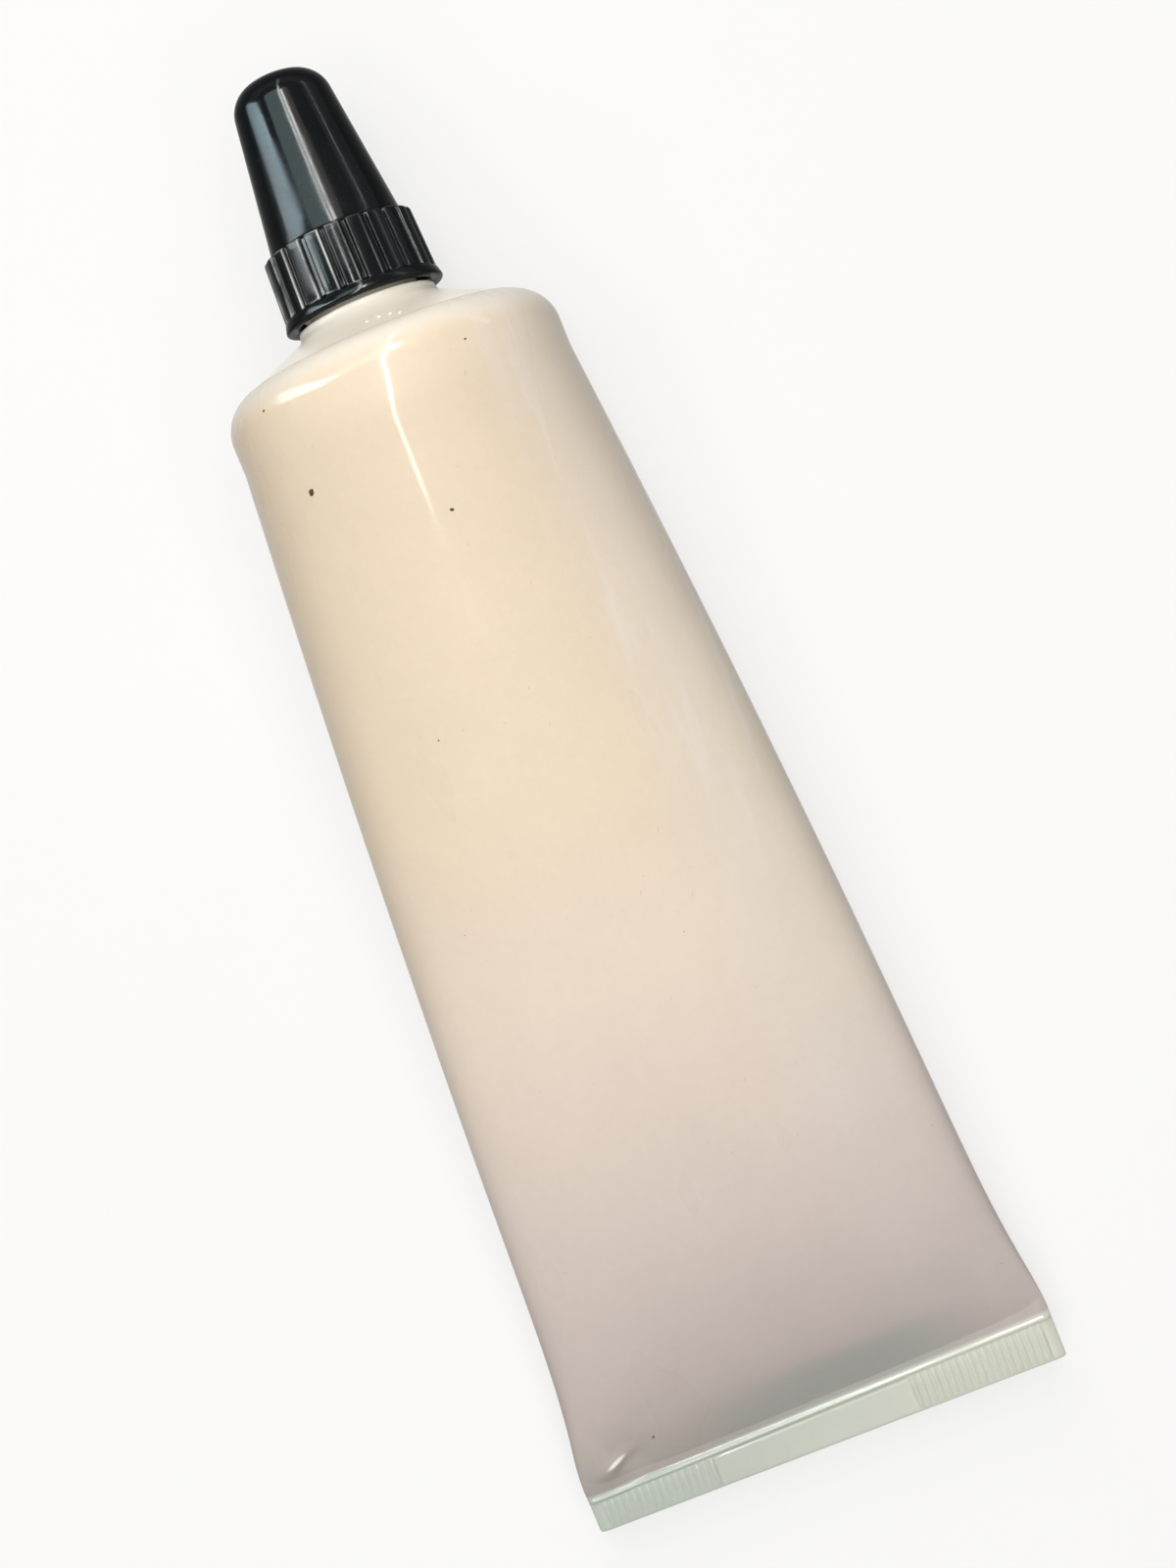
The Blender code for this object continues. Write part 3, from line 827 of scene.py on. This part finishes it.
shoulderNeck = makeShoulder(dots(shoulder))
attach(shoulderNeck, "tube")
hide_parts("shoulder_neck")
print("shoulder made:", len(shoulderNeck.data.polygons), "faces")


# screw threads: a rounded profile swept along a helix, tapering out at both ends

thread = {
    "pitch": 2.0 * mm,
    "depth": 0.78 * mm,
    "rootWidth": 1.0 * mm,
    "crestWidth": 0.5 * mm,
    "rounding": 0.1 * mm,
    "lead": 0.16,  # share of the length that each end takes to taper out
    "axisHeight": tube.axisHeight,
}
neckThread = {"rootRadius": 5.62 * mm, "start": 54.7 * mm, "turns": 1.58, "phase": 0.0, "outward": 1.0}
capThread = {"rootRadius": 6.78 * mm, "start": 55.6 * mm, "turns": 1.33, "phase": -0.314, "outward": -1.0}


def makeThreadTree(labels):
    tree, g = startTree("threadSweep", {label: "Float" for label in labels})
    helix = grow(tree, "GeometryNodeCurveSpiral", "Curve", {
        "Resolution": 64, "Rotations": g.turns, "Start Radius": g.rootRadius, "End Radius": g.rootRadius,
        "Height": g.pitch * g.turns, "Reverse": True})  # reversed, the spiral is right-handed
    upright = grow(tree, "GeometryNodeSetCurveNormal", "Curve", {"Curve": helix}, mode="Z_UP")
    side = g.outward * -0.5  # keeps the faces outwards whichever way the crest points
    reach = g.depth * g.outward
    halfRoot, halfCrest = g.rootWidth * side, g.crestWidth * side
    profile = grow(tree, "GeometryNodeCurvePrimitiveQuadrilateral", "Curve", {
        "Point 1": vector(tree, 0.0, halfRoot), "Point 2": vector(tree, reach, halfCrest),
        "Point 3": vector(tree, reach, -halfCrest), "Point 4": vector(tree, 0.0, -halfRoot)}, mode="POINTS")
    soft = grow(tree, "GeometryNodeFilletCurve", "Curve", {
        "Curve": profile, "Radius": g.rounding, "Count": 3, "Limit Radius": True}, mode="POLY")
    factor = grow(tree, "GeometryNodeSplineParameter", "Factor")
    taper = least(least(factor / g.lead, (1.0 - factor) / g.lead), 1.0)
    swept = grow(tree, "GeometryNodeCurveToMesh", "Mesh", {
        "Curve": upright, "Profile Curve": soft, "Scale": most(taper ** 0.6, 0.05), "Fill Caps": True})
    turned = step("Transform", swept, Rotation=vector(tree, z=g.phase))
    placed = step("Transform", turned, Rotation=(0.0, math.pi / 2, 0.0),
                  Translation=vector(tree, g.start, z=g.axisHeight))
    return endTree(g, placed)


threadTree = makeThreadTree([*thread, *neckThread])


def makeThread(name, settings, material):
    item = linkMesh(name, [(0, 0, 0)])
    bakeTree(item, threadTree, {**thread, **settings, "material": material})
    return setSharp(item, 50)


neckThreadRidge = makeThread("neckThread", neckThread, shoulderPlastic)
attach(neckThreadRidge, "tube")
capThreadRidge = makeThread("capThread", capThread, capPlastic)
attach(capThreadRidge, "cap")
print("threads made")


# cap: one sector with a rib and half a groove on each side, repeated round the axis

cap = {
    "ribCount": 22,
    "ribDepth": 0.4 * mm,
    "ribCrown": 0.03 * mm,
    "grooveStart": 0.60,  # where the rib's flank starts and ends, as a share of half a sector
    "grooveEnd": 0.83,
    "rim": 54.15 * mm,
    "lipTop": 55.15 * mm,
    "ledge": 61.40 * mm,
    "ledgeEdge": 0.22 * mm,
    "rimEdge": 0.2 * mm,
    "top": 78.15 * mm,
    "topCrown": 0.05 * mm,
    "rimRadius": 8.37 * mm,
    "footRadius": 8.10 * mm,
    "skirtRadius": 7.85 * mm,
    "coneBase": 6.90 * mm,
    "coneTop": 5.10 * mm,
    "dome": 3.1 * mm,
    "boreRadius": 6.7 * mm,
    "seat": 60.2 * mm,
    "wall": 1.3 * mm,
    "wearWidth": 0.07,  # pale edge of a rib, partly wear and partly painted highlight, as a share of half a sector
    "wearBack": 0.15,  # the same pale mark, weaker, on the rib's other flank
    "brimWear": 0.6,
}


def capRows(s):
    # (X, radius, share of the groove's depth), from the top down the outside and back up the inside
    flatRadius, edge = s.coneTop - s.dome, s.ledgeEdge
    rows = [(s.top - s.topCrown * share ** 2, flatRadius * share, 0.0) for share in (0.0, 0.45, 0.8)]

    def arc(x, r, radius, angles, weight=0.0):
        rows.extend((x + radius * math.sin(a), r + radius * math.cos(a), weight) for a in np.radians(angles))

    def line(x, r, shares, weight=0.0):
        startX, startR, _ = rows[-1]
        rows.extend((startX + (x - startX) * t, startR + (r - startR) * t, weight) for t in shares)

    def steps(x, r, offsets):  # in millimetres
        rows.extend((x + along * mm, r + out * mm, weight) for along, out, weight in offsets)

    arc(s.top - s.topCrown - s.dome, flatRadius, s.dome, np.linspace(86, 6, 14))
    line(s.ledge + 0.35 * mm, s.coneBase, np.linspace(0, 1, 10)[1:])
    steps(s.ledge, s.coneBase, ((0.13, 0.05, 0.0), (0.03, 0.14, 0.0), (0.0, 0.26, 0.0)))  # hollow above the ledge
    arc(s.ledge - edge, s.skirtRadius - edge, edge, (90, 70, 45, 20, 0), 1.0)
    line(s.lipTop + 0.38 * mm, s.footRadius, np.linspace(0.1, 1, 8), 1.0)
    steps(s.lipTop, s.footRadius, ((0.20, 0.0, 0.93), (0.10, 0.01, 0.6), (0.04, 0.03, 0.18), (-0.05, 0.07, 0.0),
                                   (-0.3, 0.16, 0.0)))
    steps(s.rim, s.rimRadius, [(0.35, -0.02, 0.0)])
    arc(s.rim + s.rimEdge, s.rimRadius - s.rimEdge, s.rimEdge, (0, -30, -60, -90))
    steps(s.rim, s.boreRadius, ((0.0, 0.65, 0.0), (0.08, 0.5, 0.0), (0.6, 0.0, 0.0)))
    steps(s.seat, s.boreRadius, ((-0.2, 0.0, 0.0), (0.0, -0.2, 0.0)))
    ceiling = s.top - s.wall
    inside = ((s.seat, s.coneBase - s.wall), (s.top - s.dome, s.coneTop - s.wall),
              (ceiling - 0.4 * mm, flatRadius + 0.7 * mm), (ceiling, flatRadius * 0.8), (ceiling, 0.0))
    return rows + [(x, r, 0.0) for x, r in inside]


def makeCapTree():
    tree, g = startTree("capSectors", {"ribCount": "Int", "axisHeight": "Float", "weld": "Float"})
    spots = grow(tree, "GeometryNodeMeshLine", "Mesh", {"Count": g.ribCount, "Offset": (0.0, 0.0, 0.0)})
    turn = grow(tree, "GeometryNodeInputIndex", "Index") / g.ribCount * (2 * math.pi)
    whole = step("RealizeInstances", scatter(spots, g.Geometry, Rotation=vector(tree, turn)))
    raised = step("Transform", whole, Translation=vector(tree, z=g.axisHeight))
    return endTree(g, step("MergeByDistance", raised, Distance=g.weld))


def makeCap(s):
    half = math.pi / s.ribCount
    shares = np.array((0, 0.25, 0.45, 0.55, 0.60, 0.635, 0.67, 0.715, 0.76, 0.795, 0.83, 0.9, 1.0))
    across = np.concatenate((-shares[:0:-1], shares))
    fall = np.clip((np.abs(across) - s.grooveStart) / (s.grooveEnd - s.grooveStart), 0, 1)
    fall = fall * fall * (3 - 2 * fall)
    rows = capRows(s)
    points, wearAndGlint = [], []
    for x, r, weight in rows:
        # pale marks on the rib flanks and the ledge's edge: wear, and painted highlight
        brim = s.brimWear * math.exp(-((x - s.ledge + 0.06 * mm) / (0.09 * mm)) ** 2) * weight
        for share, depth in zip(across, fall):
            crown = s.ribCrown * min(abs(share) / s.grooveStart, 1.0) ** 2
            ring = r - (s.ribDepth * depth + crown * (1 - depth)) * weight
            points.append((x, ring * math.sin(share * half), -ring * math.cos(share * half)))
            flank = math.exp(-((abs(share) - s.grooveStart) / s.wearWidth) ** 2) * weight
            wearAndGlint.append(max(flank * (1.0 if share > 0 else s.wearBack), brim * (1 - depth)))
    faces = [face[::-1] for face in gridFaces(len(rows), len(across), False)]
    item = linkMesh("screwCap", points, faces)
    storeFloats(item, edgeWear=wearAndGlint)
    bakeTree(item, makeCapTree(), {"ribCount": s.ribCount, "axisHeight": tube.axisHeight, "weld": 2e-6,
                                   "material": capPlastic})
    return setSharp(item, 55)


screwCap = makeCap(dots(cap))
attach(screwCap, "cap")
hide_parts("screw_cap")
print("cap made:", len(screwCap.data.polygons), "faces")


# foil across the neck's mouth and the wad inside the cap

foil = {
    "bottom": 58.8 * mm,
    "top": 59.0 * mm,
    "radius": 5.4 * mm,
    "edge": 0.05 * mm,
    "ripple": 0.03 * mm,
    "folds": 36,
    "foldStart": 4.4 * mm,
    "ringPitch": 2.4,  # radians of ripple per millimetre inside the folds
}
wad = {
    "bottom": 59.1 * mm,
    "top": 60.1 * mm,
    "radius": 6.4 * mm,
    "edge": 0.12 * mm,
    "pressed": 0.06 * mm,  # print of the neck's mouth, between these radii
    "printInner": 3.1 * mm,
    "printOuter": 5.0 * mm,
    "printEdge": 0.3 * mm,
    "printRounding": 0.2 * mm,
}


def makeFoil(s):
    flatTop = s.top - s.ripple
    corners = [(s.bottom, 0.0, 0), (s.bottom, s.radius, s.edge), (flatTop, s.radius, s.edge)]
    corners += [(flatTop, r * mm, 0) for r in (5.15, 4.9, 4.6, 4.2, 3.8, 3.4, 3.0, 2.6, 2.0, 1.4, 0.8, 0.0)]
    item = turnPath("foilSeal", roundedPath(corners, 4), 144, 60, foilMetal)
    for vertex in item.data.vertices:  # pressed rings over the mouth, with small folds beyond them
        y, z = vertex.co.y, vertex.co.z - tube.axisHeight
        r = math.hypot(y, z)
        if vertex.co.x > (s.bottom + s.top) / 2:
            turn = math.atan2(y, z) * s.folds if r > s.foldStart else r / mm * s.ringPitch
            vertex.co.x += s.ripple * (0.5 + 0.5 * math.sin(turn))
    return item


def makeWad(s):
    soft = s.printRounding
    corners = [(s.bottom, 0.0, 0), (s.bottom, s.printInner - s.printEdge, soft),
               (s.bottom + s.pressed, s.printInner, soft), (s.bottom + s.pressed, s.printOuter, soft),
               (s.bottom, s.printOuter + s.printEdge, soft), (s.bottom, s.radius, s.edge),
               (s.top, s.radius, s.edge), (s.top, 0.0, 0)]
    return turnPath("sealingWad", roundedPath(corners, 5), 96, 50, wadFoam)


foilSeal = makeFoil(dots(foil))
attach(foilSeal, "tube")
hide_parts("foil_seal")
sealingWad = makeWad(dots(wad))
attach(sealingWad, "wad")
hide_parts("sealing_wad")
print("foil and wad made")


# crumbs of dirt stuck to the sleeve, and tiny raised marks left by the mould on the shoulder

crumbs = {
    "spots": [  # place and size in millimetres
        (37.84, 11.24, 30.1, 0.36), (31.26, -0.4, 32.2, 0.20), (46.6, 12.4, 29.6, 0.15),
        (-68.1, 18.0, 7.2, 0.16), (45.2, -7.6, 33.4, 0.12), (11.5, 9.6, 27.0, 0.10),
    ],
    "squash": 0.4,
    "seed": 3,
}
mouldPips = {
    "spots": [
        (50.81, -0.92, 29.6, 0.32), (50.57, -2.05, 30.0, 0.28), (50.23, -2.84, 30.6, 0.26), (50.75, 0.3, 29.7, 0.2),
    ],
    "squash": 0.5,
    "seed": 5,
}


def makeCrumbTree():
    tree, g = startTree("crumbScatter", {"squash": "Float", "seed": "Int"})
    ball = grow(tree, "GeometryNodeMeshIcoSphere", "Mesh", {"Radius": 1.0, "Subdivisions": 3})
    place = placeOf(tree)
    crumb = step("SetPosition", ball, Offset=scaled(place, noise(place, 1.4) * 1.4 - 0.7))
    spin = grow(tree, "FunctionNodeRandomValue", 1, {3: 2 * math.pi, "Seed": g.seed}, data_type="FLOAT")
    normal = stored(tree, "lean", "FLOAT_VECTOR")
    stand = grow(tree, "FunctionNodeAlignRotationToVector", "Rotation", {"Vector": normal}, axis="Z")
    twist = grow(tree, "FunctionNodeAxisAngleToRotation", "Rotation", {"Axis": (0.0, 0.0, 1.0), "Angle": spin})
    turned = grow(tree, "FunctionNodeRotateRotation", "Rotation", {
        "Rotation": stand, "Rotate By": twist}, rotation_space="LOCAL")
    size = stored(tree, "crumbSize")
    shape = vector(tree, size, size * 0.7, size * g.squash)
    return endTree(g, scatter(g.Geometry, crumb, Rotation=turned, Scale=shape))


crumbTree = makeCrumbTree()


def makeCrumbs(name, s, surface, material):
    # each spot is moved onto the surface that carries it
    found = [surface.closest_point_on_mesh(Vector(spot[:3]) * mm) for spot in s.spots]
    _, points, normals, _ = zip(*found)
    item = linkMesh(name, points)
    storeFloats(item, crumbSize=[spot[3] * mm for spot in s.spots])
    lean = item.data.attributes.new("lean", "FLOAT_VECTOR", "POINT")
    lean.data.foreach_set("vector", np.array(normals, np.float32).ravel())
    return bakeTree(item, crumbTree, {"squash": s.squash, "seed": s.seed, "material": material})


sleeveCrumbs = makeCrumbs("sleeveCrumbs", dots(crumbs), sleeveSheet, crumbDirt)
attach(sleeveCrumbs, "tube")
shoulderPips = makeCrumbs("shoulderPips", dots(mouldPips), shoulderNeck, shoulderPlastic)
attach(shoulderPips, "tube")
print("crumbs and pips made")


# floor, lamps, world and camera

studio = {
    "floor": (0.34, 0.34, 0.34),
    "floorCloud": (0.3349, 0.3349, 0.3349),
    "backdrop": (0.05, 0.05, 0.05),
    "floorGlow": (0.58, 0.55),  # near and far: lifts the floor to white for the camera and in reflections
    "floorFade": (0.3, 1.4),  # distances between which the floor turns into the plain backdrop
    "floorRing": 1.5,  # where the floor starts to curve up into the backdrop
    "rimHeight": 0.5,
    "wallHeight": 0.95,
    "segments": 48,
    "world": (0.16, 0.16, 0.165),
    "lamps": {  # name: (kind, place, aim, size, radiance, colour, roll); gloss is only mirrored, and fill never is
        "stripLamp": ("lamp", (0.55, -0.016, 1.0), (0.55, -0.016, 0.0), (1.42, 0.035), 32.0, (1.0, 1.0, 1.0), -10.5),
        "stripEnd": ("gloss", (-0.26, 0.134, 1.0), (-0.26, 0.134, 0.0), (0.2, 0.03), 20.0, (1.0, 1.0, 1.0), -10.5),
        "capStrip": ("gloss", (0.70, -0.165, 1.0), (0.70, -0.165, 0.0), (0.26, 0.09), 24.0, (1.0, 1.0, 0.97), -10.5),
        "stripDrop": ("gloss", (1.30, -0.14, 0.62), (0.0, -0.14, 0.62), (0.035, 0.72), 14.0, (1.0, 1.0, 1.0), -6.0),
        "windowPanel": ("gloss", (0.55, 0.80, 0.61), (0.55, 0.0, 0.61), (0.18, 1.18), 13.8, (0.69, 0.90, 1.0), 0.0),
        "windowSide": ("gloss", (0.39, 0.80, 0.50), (0.39, 0.0, 0.50), (0.12, 0.75), 15.0, (0.90, 0.96, 1.0), 0.0),
        "sheenPanel": ("gloss", (0.72, 0.32, 1.05), (0.72, 0.32, 0.0), (0.55, 0.76), 2.6, (0.73, 0.98, 1.0), 0.0),
        "ceilingPanel": ("fill", (-0.22, 0.19, 1.06), (-0.22, 0.19, 0.0), (1.2, 1.4), 1.77, (1.0, 0.98, 0.95), 0.0),
        "frontPanel": ("fill", (0.95, 0.0, 0.55), (0.05, 0.0, 0.02), (0.7, 0.6), 2.95, (1.0, 0.97, 0.92), 0.0),
        "brownPanel": ("lamp", (0.66, -0.27, 1.02), (0.66, -0.27, 0.0), (0.5, 0.42), 1.2, (1.0, 0.92, 0.84), 0.0),
        "sideTube": ("gloss", (0.46, -0.86, 0.30), (0.06, 0.0, 0.02), (0.5, 0.02), 10.0, (0.95, 0.98, 1.0), 0.0),
    },
}


def makeFloorMaterial(s):
    material, place = startMaterial("paleFloor")
    tree = place.tree
    far = remap(lengthOf(place), *s.floorFade)
    pale = mixColour(noise(place, 40, 2.0), s.floor, s.floorCloud)
    finishMaterial(material, {
        "Base Color": mixColour(far, pale, s.backdrop), "Roughness": 0.9, "Specular IOR Level": 0.0})
    rays = addNode(tree, "ShaderNodeLightPath")
    camera, glossy, through = (wire(tree, rays.outputs[f"Is {kind} Ray"])
                               for kind in ("Camera", "Glossy", "Transmission"))
    seen = most(camera, most(glossy, through))
    glow = grow(tree, "ShaderNodeEmission", "Emission", {
        "Color": (1.0, 1.0, 1.0, 1.0), "Strength": seen * remap(far, 0, 1, *s.floorGlow)})
    plain = wire(tree, tree.nodes["Principled BSDF"].outputs["BSDF"])
    both = grow(tree, "ShaderNodeAddShader", "Shader", {0: plain, 1: glow})
    feed(tree, tree.nodes["Material Output"].inputs["Surface"], both)
    return material


def makeFloor(s):
    curve = np.linspace(math.pi / 2, 0.0, 9)[:-1]
    rings = [(s.floorRing + s.rimHeight, s.wallHeight)]
    rings += [(s.floorRing + s.rimHeight * math.sin(a), s.rimHeight * (1 - math.cos(a))) for a in curve]
    rings += [(r, 0.0) for r in np.linspace(s.floorRing, 0.0, 5)[:-1]] + [(0.001, 0.0)]
    count = s.segments
    turns = np.arange(count) * 2 * math.pi / count
    points = [(r * math.cos(a), r * math.sin(a), z) for r, z in rings for a in turns]
    faces = gridFaces(len(rings), count, True) + [range((len(rings) - 1) * count, len(rings) * count)]
    item = linkMesh("floor", points, faces)
    item.data.shade_smooth()
    item.data.materials.append(makeFloorMaterial(s))


def makeGlowPanel(name, corners, radiance, colour):
    item = linkMesh(name, corners, [(0, 1, 2, 3)])
    material, place = startMaterial(name + "Glow")
    tree = place.tree
    glow = grow(tree, "ShaderNodeEmission", "Emission", {"Color": (*colour, 1.0), "Strength": radiance})
    feed(tree, tree.nodes["Material Output"].inputs["Surface"], glow)
    material.cycles.emission_sampling = "NONE"
    item.data.materials.append(material)
    item.visible_camera = item.visible_diffuse = item.visible_transmission = item.visible_shadow = False


def makeLamps(s):
    for name, (kind, place, aim, size, radiance, colour, roll) in s.lamps.items():
        away = (Vector(place) - Vector(aim)).normalized()
        upright = Vector((0.0, 1.0, 0.0)) if abs(away.z) > 0.7 else Vector((0.0, 0.0, 1.0))
        side = Matrix.Rotation(math.radians(roll), 3, away) @ upright.cross(away).normalized()
        rise = away.cross(side)
        if kind == "gloss":
            corners = [Vector(place) + side * size[0] * a + rise * size[1] * b
                       for a, b in ((-0.5, -0.5), (0.5, -0.5), (0.5, 0.5), (-0.5, 0.5))]
            makeGlowPanel(name, corners, radiance, colour)
            continue
        data = bpy.data.lights.new(name, "AREA")
        data.shape = "RECTANGLE"
        data.size, data.size_y = size
        data.color = colour
        data.energy = radiance * size[0] * size[1] * math.pi
        item = linkObject(data)
        item.location = place
        item.visible_glossy = kind != "fill"
        item.rotation_mode = "QUATERNION"
        item.rotation_quaternion = Matrix((side, rise, away)).transposed().to_quaternion()


def makeWorld(s):
    world = bpy.context.scene.world = bpy.data.worlds.new("studioWorld")
    world.use_nodes = True
    sky = world.node_tree.nodes["Background"]
    sky.inputs["Color"].default_value = (*s.world, 1.0)
    sky.inputs["Strength"].default_value = 1.0


view = {  # matched to a frame of 1200 by 1600
    "place": (16.544 * mm, -2.362 * mm, 225.746 * mm),
    "turn": (-3.7939, -1.5837, -112.2369),
    "lens": 47.167,
}


def makeCamera(s):
    data = bpy.data.cameras.new("camera")
    data.sensor_width = 36.0
    data.lens = s.lens
    data.clip_start = 0.01
    item = linkObject(data)
    item.location = s.place
    item.rotation_euler = [math.radians(angle) for angle in s.turn]
    bpy.context.scene.camera = item


for make in (makeFloor, makeLamps, makeWorld):
    make(dots(studio))
makeCamera(dots(view))
bpy.context.scene.view_settings.view_transform = "Standard"
print("studio made")
